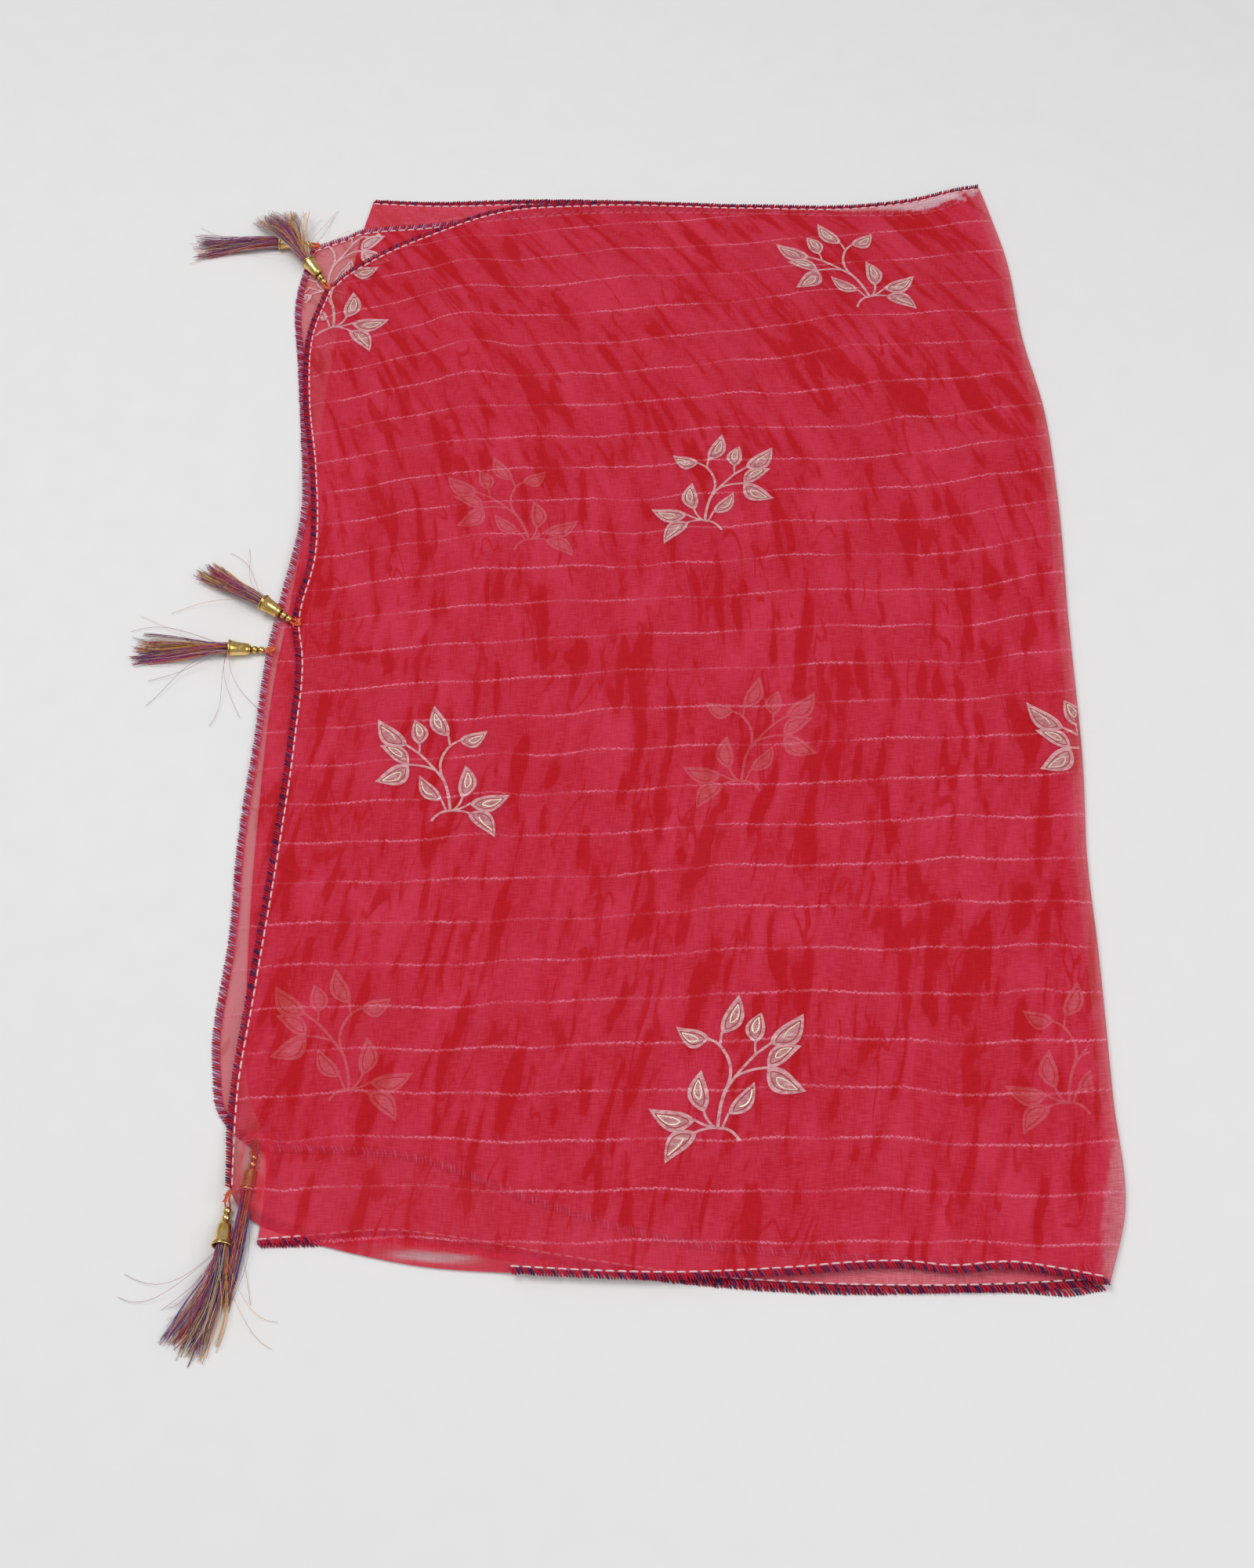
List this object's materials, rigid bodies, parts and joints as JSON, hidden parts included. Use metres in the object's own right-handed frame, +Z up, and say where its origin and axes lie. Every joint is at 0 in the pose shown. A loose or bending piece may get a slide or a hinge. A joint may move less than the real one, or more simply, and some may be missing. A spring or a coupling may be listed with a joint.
{
  "type": "scarf",
  "caption": "Sheer scarf folded in four and laid flat, with thin pale stripes, printed leaf sprigs, overlocked edges and capped thread tassels at its short ends.",
  "frame": {"origin": "middle of the whole outline in plan, tassels included, on the surface that the scarf lies on", "axes": "+Z up from that surface, +Y along the folded cloth's long side towards the far edge in the picture, +X towards the outer fold"},
  "size_m": [0.4607, 0.6614, 0.0119],
  "materials": {
    "sheer_cloth": "sheer crinkled georgette, matt with a faint sheen",
    "gold_cap": "polished gold plate",
    "tassel_thread": "mixed shiny threads in wine, purple, navy, gold and cream",
    "loop_thread": "matt twisted thread"
  },
  "bodies": {
    "root": {"top_layer": "sheer_cloth", "second_layer": "sheer_cloth", "inner_layers": "sheer_cloth", "cap_upper_corner": "gold_cap", "cap_upper_corner_under": "gold_cap", "cap_middle": "gold_cap", "cap_middle_under": "gold_cap", "cap_lower_corner": "gold_cap", "cap_lower_corner_under": "gold_cap", "threads_upper_corner": "tassel_thread", "threads_upper_corner_under": "tassel_thread", "threads_middle": "tassel_thread", "threads_middle_under": "tassel_thread", "threads_lower_corner": "tassel_thread", "threads_lower_corner_under": "tassel_thread", "loop_upper_corner": "loop_thread", "loop_upper_corner_under": "loop_thread", "loop_middle": "loop_thread", "loop_middle_under": "loop_thread", "loop_lower_corner": "loop_thread", "loop_lower_corner_under": "loop_thread"}
  },
  "joints": []
}
